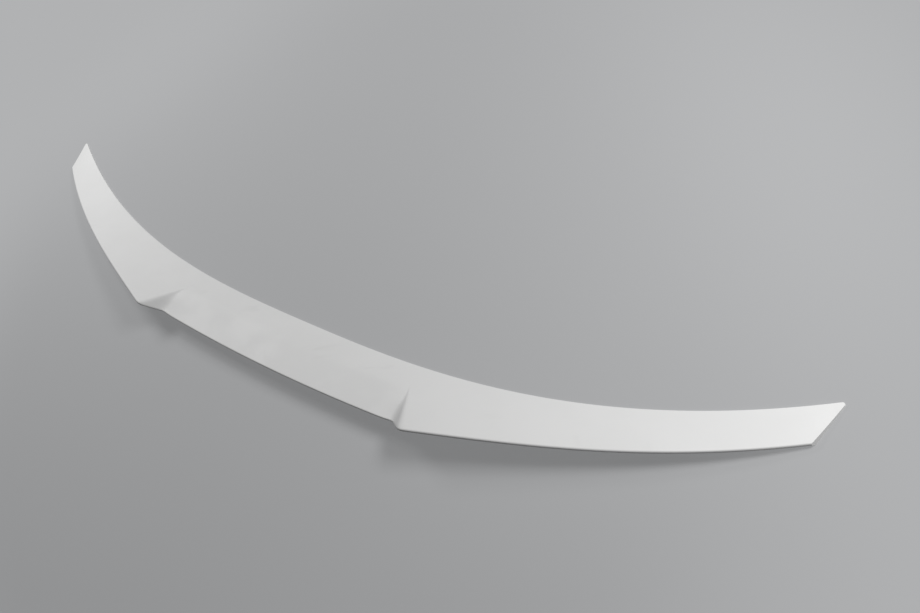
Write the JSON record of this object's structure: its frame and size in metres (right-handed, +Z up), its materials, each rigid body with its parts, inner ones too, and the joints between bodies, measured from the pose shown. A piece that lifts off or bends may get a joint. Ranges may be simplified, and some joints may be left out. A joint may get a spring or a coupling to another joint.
{
  "type": "car rear spoiler",
  "caption": "Ducktail lip spoiler for a boot lid: a swept shell with forward-curving tapered tips, a raked rear lip, a lowered middle between angled steps, and a flat bonding rim.",
  "frame": {"origin": "on the car's centre line, in the middle of the front bonding land, on the plane that the rim is bonded to", "axes": "+X across the car, +Y to the front of the car, +Z up and away from the boot lid"},
  "size_m": [1.2018, 0.2008, 0.0464],
  "materials": {
    "shell": "satin white primer or gel coat, unpainted, with faint scuffs"
  },
  "bodies": {
    "root": {"spoiler": "shell"}
  },
  "joints": []
}
